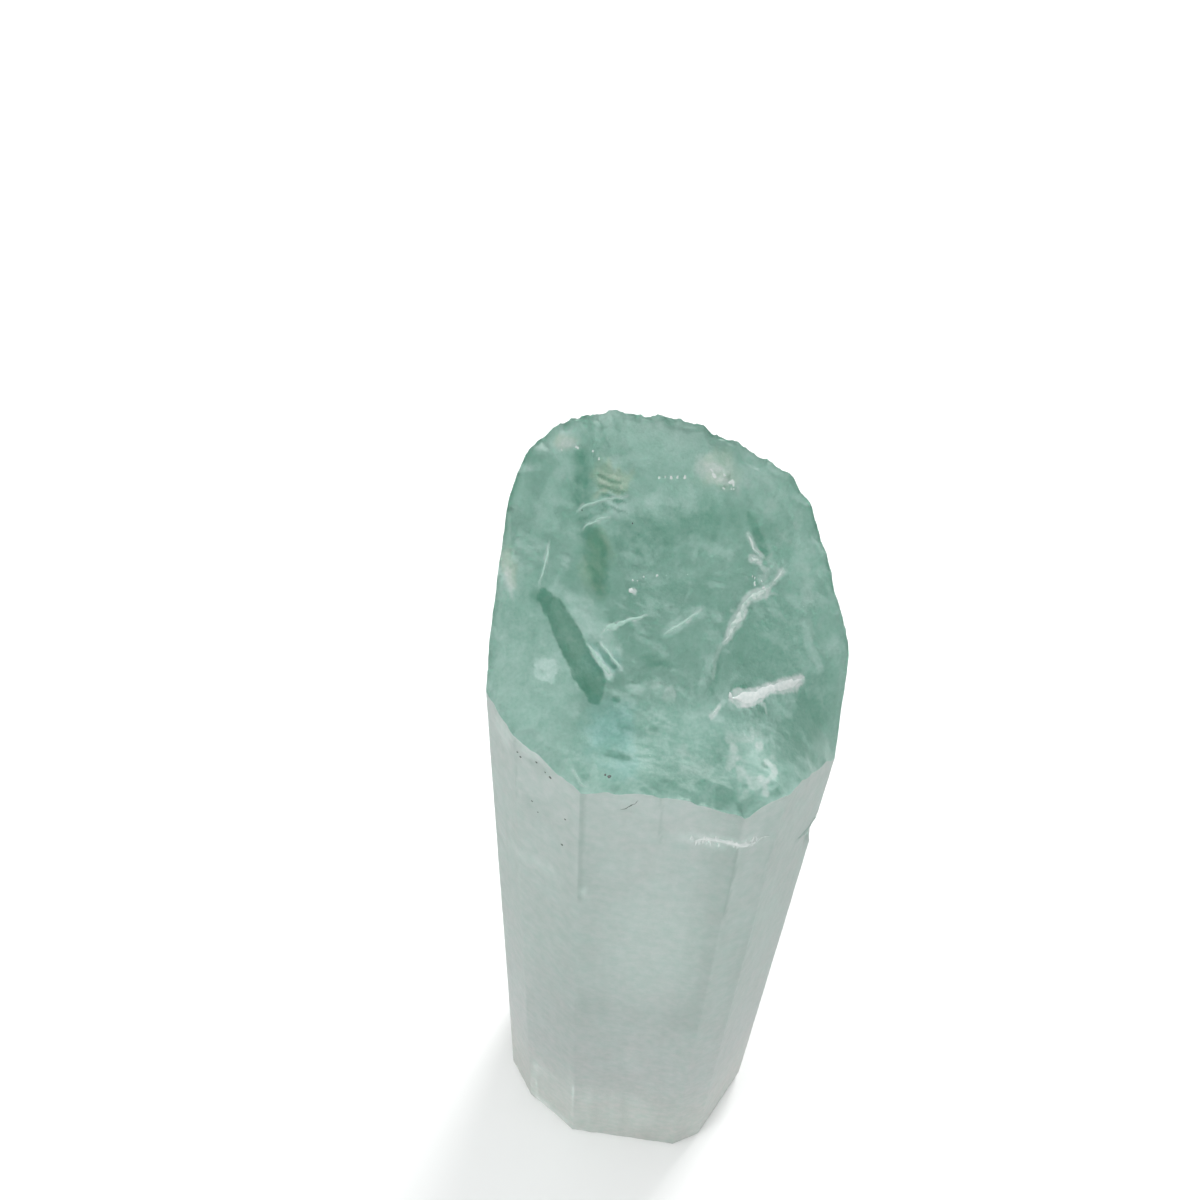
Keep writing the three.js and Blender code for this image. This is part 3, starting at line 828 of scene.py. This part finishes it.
# Dark specks on the faces: distance round the prism, height, radius.
DARK_SPECKS = (
    (66.06, 61.1, 0.13), (68.28, 63.6, 0.1), (68.55, 63.3, 0.1), (71.05, 63.25, 0.13), (69.8, 63.7, 0.09),
    (69.3, 58.6, 0.09), (72.25, 59.3, 0.1), (72.05, 55.9, 0.12), (69.9, 57.9, 0.07), (70.6, 63.4, 0.07),
    # Guessed, on the hidden faces.
    (27.5, 58.2, 0.1), (41.6, 67.3, 0.12), (41.9, 66.8, 0.08), (50.2, 60.4, 0.09), (58.6, 52.7, 0.11),
)
TOP_SPECKS = ((-3.97, -8.69, 0.13), (-4.21, -8.57, 0.08), (-5.95, 6.05, 0.05), (-2.61, 5.71, 0.05))
DARK_CRACK = ((2.45, 62.5, 0.02), (2.8, 62.6, 0.05), (3.1, 62.8, 0.05), (3.4, 63.3, 0.03), (3.7, 63.9, 0.02))


def on_top(u, v, lift):
    """Points over x and y, lifted off the fracture."""
    return np.stack([u, v, fracture(u, v) + lift], -1)


def on_side(u, v, lift):
    """Points at a distance round the prism and a height, lifted off the faces."""
    plan, unit = face(u, v)
    return np.concatenate([plan + unit * lift[..., None], v[..., None]], -1)


def closed_strip(u, v, lift, drape):
    """A closed skin over rings of points that shrink to nothing at both ends."""
    rings, around = u.shape
    vertices = drape(u.ravel(), v.ravel(), lift.ravel())
    first, last = vertices[:around].mean(0), vertices[-around:].mean(0)
    vertices = np.vstack([vertices, first, last])
    start, end = rings * around, rings * around + 1
    faces = []
    for ring in range(rings - 1):
        for side in range(around):
            here, there = ring * around + side, ring * around + (side + 1) % around
            faces.append((here, there, there + around, here + around))
    for side in range(around):
        after = (side + 1) % around
        faces.append((start, after, side))
        faces.append((end, end - 1 - around + side, end - 1 - around + after))
    return vertices, faces


LENS_TURNS = np.arange(8) / 8 * 2 * math.pi
RIBBON_STEP, RIBBON_LEAST_STEPS = 0.07, 6
RIBBON_WANDER, RIBBON_UNEVENNESS = 0.05, 0.35
RIBBON_TAPER, RIBBON_TIP, THINNER_BELOW = 5, 0.15, 0.08


def ribbon(path, drape, thickness, seed):
    """A lens-shaped crack along a path."""
    knots = np.array(path)
    gaps = np.hypot(*np.diff(knots[:, :2], axis=0).T)
    travelled = np.append(0, np.cumsum(gaps))
    count = max(RIBBON_LEAST_STEPS, int(travelled[-1] / RIBBON_STEP))
    share = (np.arange(count) + 0.5) / count
    u, v, half = (np.interp(share * travelled[-1], travelled, knots[:, axis]) for axis in range(3))
    points = flat_points(u, v)
    u = u + RIBBON_WANDER * noise(points, 0.35, seed)
    v = v + RIBBON_WANDER * noise(points, 0.35, seed + 1)
    taper = np.minimum(1, RIBBON_TAPER * np.minimum(share, 1 - share) + RIBBON_TIP)
    half = half * (1 + RIBBON_UNEVENNESS * noise(points, 0.25, seed + 2)) * taper
    run_u, run_v = np.gradient(u), np.gradient(v)
    length = np.hypot(run_u, run_v) + 1e-9
    side = np.cos(LENS_TURNS) * half[:, None]
    lift = np.sin(LENS_TURNS) * thickness * np.minimum(1, half / THINNER_BELOW)[:, None]
    across_u, across_v = (-run_v / length)[:, None], (run_u / length)[:, None]
    return closed_strip(u[:, None] + side * across_u, v[:, None] + side * across_v, lift, drape)


def ribbons(paths, drape, thickness, seed):
    """A lens-shaped crack along each path."""
    return [ribbon(path, drape, thickness, seed + 9 * index) for index, path in enumerate(paths)]


def placed(centre_u, centre_v, a, b, turn):
    """Points at a and b along the axes of a turned frame."""
    angle = math.radians(turn)
    u = centre_u + a * math.cos(angle) - b * math.sin(angle)
    v = centre_v + a * math.sin(angle) + b * math.cos(angle)
    return u, v


def shard(u, v, along, across, turn, drape, seed, thickness=SHARD_THICKNESS, sink=0.0):
    """A flat, uneven flake."""
    reach, rise = np.array(SHARD_RINGS).T
    turns = np.arange(SHARD_SIDES) / SHARD_SIDES * 2 * math.pi
    round_points = flat_points(3 * np.cos(turns), 3 * np.sin(turns)) + seed * 7.3
    uneven = 1 + SHARD_RAGGEDNESS * noise(round_points, size=1.7, seed=seed)
    profile = np.concatenate([reach, reach[-2::-1]])
    height = np.concatenate([rise, -rise[-2::-1]]) * thickness - sink
    a = profile[:, None] * uneven * np.cos(turns) * along
    b = profile[:, None] * uneven * np.sin(turns) * across
    lift = np.repeat(height[:, None], SHARD_SIDES, 1)
    return closed_strip(*placed(u, v, a, b, turn), lift, drape)


def flecks(places, drape, seed):
    """A small oblong fleck at each place, turned one way and another."""
    return [
        shard(u, v, half, 0.8 * half, 40 * index, drape, seed + index)
        for index, (u, v, half) in enumerate(places)
    ]


def shard_field(centre_u, centre_v, along, across, field_turn, count, sizes, turn, seed, sink=0.0):
    """Flakes scattered over an oval of the fracture."""
    random = np.random.default_rng(seed)
    for index in range(count):
        reach, way = math.sqrt(random.random()), random.random() * 2 * math.pi
        a, b = reach * math.cos(way) * along, reach * math.sin(way) * across
        u, v = placed(centre_u, centre_v, a, b, field_turn)
        size = between(sizes, random.random() ** 2)
        stretch = 1 + SHARD_STRETCH * random.random()
        if share_of_reach(u, v) < SHARDS_WITHIN:
            stray = random.normal(0, SHARD_STRAY)
            yield shard(u, v, size * stretch, size, turn + stray, on_top, seed + index, sink=sink)


def droplet(x, y, z, size):
    """A flattened eight-sided droplet."""
    tall = size * DROPLET_FLATNESS
    corners = [(size, 0, 0), (0, size, 0), (-size, 0, 0), (0, -size, 0), (0, 0, tall), (0, 0, -tall)]
    sides = [(0, 1, 4), (1, 2, 4), (2, 3, 4), (3, 0, 4), (1, 0, 5), (2, 1, 5), (3, 2, 5), (0, 3, 5)]
    return np.array(corners) + (x, y, z), sides


def droplet_veil(centre_x, centre_y, along, across, turn, depths, count, seed):
    """Droplets on a bent sheet under the fracture."""
    random = np.random.default_rng(seed)
    a, b = random.normal(0, 0.5, count) * along, random.uniform(-1, 1, count) * across
    x, y = placed(centre_x, centre_y, a, b, turn)
    x, y = x + VEIL_BEND * np.sin(a * 2.1), y + VEIL_BEND * np.cos(a * 1.7)
    depth = between(depths, random.random(count) ** 2) + DROPLET_SINK * random.random(count)
    size = between(DROPLET_SIZE, random.random(count) ** 3)
    keep = share_of_reach(x, y) < VEILS_WITHIN
    z = fracture(x, y) - depth
    for here in np.flatnonzero(keep):
        yield droplet(x[here], y[here], z[here], size[here])


def side_hairs():
    """Paths of the hairs."""
    random = np.random.default_rng(771)
    first, middle, last = HAIR_HALF_WIDTHS
    for _ in range(SIDE_HAIRS):
        around = random.uniform(*HAIR_SPAN)
        reach = random.uniform(*HAIR_LENGTH) * random.choice((-1, 1))
        height = CRACK_PEAK_HEIGHT - CRACK_FALL * abs(around - CRACK_PEAK_AROUND)
        yield (
            (around, height, first),
            (around + HAIR_LEAN, height + reach / 2, middle),
            (around, height + reach, last),
        )


def joined_piece(name, parts, material):
    """One mesh object from many closed parts, carried with the crystal."""
    vertices, faces, start = [], [], 0
    for part_vertices, part_faces in parts:
        vertices.append(part_vertices)
        faces += [tuple(start + corner for corner in corners) for corners in part_faces]
        start += len(part_vertices)
    piece = mesh_object(name, np.vstack(vertices) * MM, faces, sharp_over=60)
    piece.data.materials.append(material)
    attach(piece, "root")
    return piece


# ---- materials

ETCHED_ROUGH, FRACTURE_ROUGH, PALE_ROUGH = 0.45, 0.38, 0.55
ETCHED_CLEAR, FRACTURE_CLEAR, DEEP_AND_SHADE_CLEAR, PALE_CLEAR, BRIGHT_CLEAR = 0.58, 0.62, 0.45, 0.22, 0.08
MILKY_SHARE = 0.5
INNER_ROUGH, INNER_CLEAR = 0.1, 0.96
ETCHED_TINT, ETCHED_ROSY = (0.428, 0.448, 0.446, 1), (0.432, 0.425, 0.426, 1)
# The etched dark also colours the painted shadow of the chipped edge.
ETCHED_DARK_AND_SHADE, ETCHED_PALE = (0.29, 0.32, 0.31, 1), (0.56, 0.59, 0.58, 1)
# Painted light that lifts the foot, where less light reaches near the floor.
FOOT_PAINTED_LIGHT = (1.22, 1.18, 1.14, 1)
INNER_TINT = (0.85, 0.87, 0.87, 1)
GRAIN_DARK, GRAIN_PALE = (0.87, 0.93, 0.91, 1), (1.1, 1.05, 1.07, 1)
GRIT_ON_FACES = 0.35
# The deep tint is partly the crystal's own colour zoning, partly painted shade.
FRACTURE_TINT, DEEP_AND_SHADE_TINT = (0.23, 0.412, 0.345, 1), (0.052, 0.212, 0.142, 1)
PALE_TINT, BRIGHT_TINT = (0.37, 0.52, 0.472, 1), (0.5, 0.55, 0.535, 1)
WARM_SHIFT, COOL_SHIFT = (1.15, 0.98, 0.86, 1), (0.84, 1.0, 1.06, 1)
FRACTURE_MOTTLE, FACE_MOTTLE = 0.12, 0.13
# Absorption of red, green and blue light, per metre.
ABSORB = (13.0, 5.0, 7.5)


# Sockets of a Mix node that belong to colours.
MIX_FIRST_COLOUR, MIX_SECOND_COLOUR, MIX_COLOUR_RESULT = 6, 7, 2


class Shade:
    """A Principled material and short calls for its nodes. Sizes are in millimetres."""

    def __init__(self, name, **plain):
        self.material = bpy.data.materials.new(name)
        self.material.use_nodes = True
        self.nodes, self.links = self.material.node_tree.nodes, self.material.node_tree.links
        self.shader = self.nodes["Principled BSDF"]
        self.fill(self.shader, **plain)

    def put(self, socket, value):
        if isinstance(value, bpy.types.NodeSocket):
            self.links.new(value, socket)
        else:
            socket.default_value = value

    def fill(self, node, **values):
        """Values or links for the sockets of a node, with an underscore for each space in a name."""
        for name, value in values.items():
            self.put(node.inputs[name.replace("_", " ")], value)

    def node(self, kind, output, **values):
        node = self.nodes.new("ShaderNode" + kind)
        self.fill(node, **values)
        return node.outputs[output]

    def attribute(self, name):
        fac = self.node("Attribute", "Fac")
        fac.node.attribute_name = name
        return fac

    def math(self, operation, first, second, clamp=False):
        value = self.node("Math", "Value")
        value.node.operation, value.node.use_clamp = operation, clamp
        self.put(value.node.inputs[0], first)
        self.put(value.node.inputs[1], second)
        return value

    def blend(self, factor, low, high):
        return self.node("MapRange", "Result", Value=factor, To_Min=low, To_Max=high)

    def mix(self, factor, low, high, mode="MIX"):
        node = self.nodes.new("ShaderNodeMix")
        node.data_type, node.blend_type = "RGBA", mode
        self.put(node.inputs["Factor"], factor)
        self.put(node.inputs[MIX_FIRST_COLOUR], low)
        self.put(node.inputs[MIX_SECOND_COLOUR], high)
        return node.outputs[MIX_COLOUR_RESULT]

    def times(self, first, second):
        return self.mix(1.0, first, second, "MULTIPLY")

    def noise(self, size, detail=3.0, stretch=(1, 1, 1)):
        """Noise from 0 to 1 with bumps about one size across."""
        place = self.node("Mapping", "Vector", Vector=self.node("TexCoord", "Object"), Scale=stretch)
        waves = self.node("TexNoise", "Fac", Vector=place, Scale=1 / (size * MM), Detail=detail)
        return self.node("MapRange", "Result", Value=waves, From_Min=0.3, From_Max=0.7)

    def bump(self, height, depth, strength):
        self.fill(self.shader, Normal=self.node(
            "Bump", "Normal", Height=height, Distance=depth * MM, Strength=strength))


def beryl():
    s = Shade("beryl", IOR=1.577, Specular_IOR_Level=0.3)
    pale, deep_and_shade, warm_and_foot_light, cool, bright, milky, broken = map(s.attribute, FIELDS)
    # Etching and haze lie on the outside of the surface; seen from within, the surface is clean.
    inside = s.node("NewGeometry", "Backfacing")
    grain = s.noise(size=0.45, detail=4.0)
    cloud = s.noise(size=1.6)
    mottle = s.math("MULTIPLY", s.math("ADD", grain, cloud), FRACTURE_MOTTLE)
    pale_all = s.math("ADD", pale, mottle, clamp=True)

    # The fracture.
    top = s.mix(deep_and_shade, FRACTURE_TINT, DEEP_AND_SHADE_TINT)
    top = s.mix(pale_all, top, PALE_TINT)
    top = s.mix(warm_and_foot_light, top, s.times(top, WARM_SHIFT))
    top = s.mix(cool, top, s.times(top, COOL_SHIFT))
    top = s.mix(bright, top, BRIGHT_TINT)
    top_clear = s.blend(pale_all, s.blend(deep_and_shade, FRACTURE_CLEAR, DEEP_AND_SHADE_CLEAR), PALE_CLEAR)
    top_clear = s.blend(milky, top_clear, s.math("MULTIPLY", top_clear, MILKY_SHARE))
    top_clear = s.blend(bright, top_clear, BRIGHT_CLEAR)
    top_rough = s.blend(pale_all, FRACTURE_ROUGH, PALE_ROUGH)

    # The etched prism faces.
    streak = s.noise(size=0.7, stretch=(1, 1, 0.05))
    frost = s.noise(size=1.3, detail=5.0, stretch=(1, 1, 0.7))
    tone = s.math("MULTIPLY", s.math("ADD", streak, frost), FACE_MOTTLE)
    side = s.mix(s.noise(size=2.6), ETCHED_TINT, ETCHED_ROSY)
    side = s.mix(tone, side, ETCHED_DARK_AND_SHADE)
    # Dark spots and lines of the faces, with the painted shadow of the chipped edge.
    side = s.mix(deep_and_shade, side, ETCHED_DARK_AND_SHADE)
    side = s.mix(pale, side, ETCHED_PALE)
    side = s.mix(warm_and_foot_light, side, s.times(side, FOOT_PAINTED_LIGHT))
    side_clear = s.blend(milky, ETCHED_CLEAR, ETCHED_CLEAR * MILKY_SHARE)

    # Both together.
    grit = s.mix(s.noise(size=0.22, detail=5.0), GRAIN_DARK, GRAIN_PALE)
    blotch = s.mix(s.noise(size=0.75, detail=4.0), GRAIN_DARK, GRAIN_PALE)
    gritty_side = s.mix(GRIT_ON_FACES, side, s.times(side, grit))
    body = s.mix(broken, gritty_side, s.times(top, grit))
    body = s.times(body, blotch)
    rough = s.blend(broken, ETCHED_ROUGH, top_rough)
    clear = s.blend(broken, side_clear, top_clear)
    s.fill(s.shader, Base_Color=s.mix(inside, body, INNER_TINT))
    s.fill(s.shader, Roughness=s.blend(inside, rough, INNER_ROUGH))
    s.fill(s.shader, Transmission_Weight=s.blend(inside, clear, INNER_CLEAR))
    s.bump(s.noise(size=0.16), depth=0.012, strength=0.6)

    left = (*(1 - np.array(ABSORB) / max(ABSORB)), 1)
    volume = s.node("VolumeAbsorption", "Volume", Color=left, Density=max(ABSORB))
    s.fill(s.nodes["Material Output"], Volume=volume)
    return s.material


def mottled(name, low, high, roughness, size=0.25):
    """An opaque material that wanders between two colours."""
    s = Shade(name, Roughness=roughness)
    s.fill(s.shader, Base_Color=s.mix(s.noise(size, detail=4.0), (*low, 1), (*high, 1)))
    s.bump(s.noise(size / 3, detail=2.0), depth=0.01, strength=0.5)
    return s.material


crystal = crystal_mesh()
crystal.data.materials.append(beryl())
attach(crystal, "root")
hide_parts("crystal")

white = mottled("flake_white", (0.5, 0.56, 0.545), (0.62, 0.655, 0.64), roughness=0.45)
milk = mottled("crack_milk", (0.3, 0.43, 0.38), (0.54, 0.61, 0.58), roughness=0.5)
pale = mottled("sliver_pale", (0.27, 0.44, 0.37), (0.36, 0.52, 0.46), roughness=0.5)
faint = mottled("flake_faint", (0.34, 0.48, 0.42), (0.45, 0.57, 0.52), roughness=0.5)
veil = mottled("veil_droplets", (0.4, 0.53, 0.48), (0.52, 0.63, 0.59), roughness=0.4)
dark = mottled("speck_dark", (0.04, 0.05, 0.045), (0.16, 0.18, 0.17), roughness=0.6, size=0.08)
# Painted shadow for the chip's inner face, on a dark sliver.
chip_shadow = mottled("chip_painted_shadow", (0.13, 0.22, 0.19), (0.26, 0.34, 0.31), roughness=0.5)

# The painted reflection, as a white slab on the fracture.
joined_piece("painted_reflection_slab", [ribbon(REFLECTION_SLAB, on_top, thickness=0.04, seed=601)], white)
joined_piece("milky_cracks", ribbons(MILKY_CRACKS, on_top, thickness=0.04, seed=611), milk)
joined_piece("pale_slivers", ribbons(PALE_SLIVERS, on_top, thickness=0.03, seed=801), pale)
dots = [
    shard(x, y, radius, radius, 0, on_top, 901 + index, thickness=DOT_HEIGHT * radius)
    for index, (x, y, radius) in enumerate(BRIGHT_DOTS)
]
joined_piece("bright_dots", dots, white)
joined_piece("white_flakes", [part for row in WHITE_SHARDS for part in shard_field(*row)], white)
joined_piece("faint_flakes", [part for row in PALE_SHARDS for part in shard_field(*row, FAINT_SINK)], faint)
joined_piece("droplet_veils", [part for row in VEILS for part in droplet_veil(*row)], veil)
side_crack = ribbons(SIDE_CRACKS, on_side, thickness=0.07, seed=701)
side_crack += ribbons(side_hairs(), on_side, thickness=0.06, seed=731)
joined_piece("side_crack", side_crack, white)
joined_piece("edge_shadow_sliver", [ribbon(EDGE_SHADOW_SLIVER, on_side, thickness=0.03, seed=991)], chip_shadow)
specks = flecks(DARK_SPECKS, on_side, seed=951) + flecks(TOP_SPECKS, on_top, seed=971)
specks.append(ribbon(DARK_CRACK, on_side, thickness=0.02, seed=981))
joined_piece("dark_specks", specks, dark)

# ---- the studio, in metres

FLOOR_GAP = 0.00004
paper = Shade("pale_floor", Base_Color=(0.93, 0.93, 0.925, 1), Roughness=0.9, Specular_IOR_Level=0.2)
floor = mesh_object("floor", [(-1, -1, 0), (1, -1, 0), (1, 1, 0), (-1, 1, 0)], [(0, 1, 2, 3)])
floor.scale = (3, 3, 3)
floor.location.z = cad_low.z - FLOOR_GAP
floor.data.materials.append(paper.material)


def softbox(name, place, aim, size, power):
    """A round soft light that faces its aim."""
    light = bpy.data.lights.new(name, "AREA")
    light.shape = "DISK"
    light.size = size
    light.energy = power
    lamp = bpy.data.objects.new(name, light)
    lamp.location = place
    lamp.rotation_euler = (Vector(aim) - Vector(place)).to_track_quat("-Z", "Y").to_euler()
    bpy.context.scene.collection.objects.link(lamp)


centre = (cad_low + cad_high) / 2
softbox("key", place=(0.42, 0.72, 0.97), aim=centre, size=0.5, power=9.5)
softbox("fill", place=(-0.7, -0.4, 0.8), aim=centre, size=0.6, power=4.0)

world = bpy.data.worlds.new("studio")
bpy.context.scene.world = world
world.use_nodes = True
sky = world.node_tree.nodes["Background"]
sky.inputs["Color"].default_value = (0.98, 1.0, 1.0, 1)
sky.inputs["Strength"].default_value = 0.75

# The camera looks down on the crystal from its front.
CAMERA_PLACE = Vector((-6.21, -50.5, 128.5)) * MM
heading, dip, roll = math.radians(1.69), math.radians(48.39), math.radians(2.25)

camera = bpy.data.objects.new("camera", bpy.data.cameras.new("camera"))
camera.data.lens = 36.0
camera.data.clip_start = 0.001
look = Vector((math.sin(heading) * math.cos(dip), math.cos(heading) * math.cos(dip), -math.sin(dip)))
turn = look.to_track_quat("-Z", "Y").to_matrix() @ Matrix.Rotation(roll, 3, "Z")
camera.matrix_world = Matrix.Translation(CAMERA_PLACE) @ turn.to_4x4()
bpy.context.scene.collection.objects.link(camera)
bpy.context.scene.camera = camera

scene = bpy.context.scene
scene.view_settings.view_transform = "Standard"
scene.cycles.use_denoising = True
scene.cycles.max_bounces = 24
scene.cycles.transmission_bounces = 24
scene.cycles.glossy_bounces = 16
scene.cycles.diffuse_bounces = 6
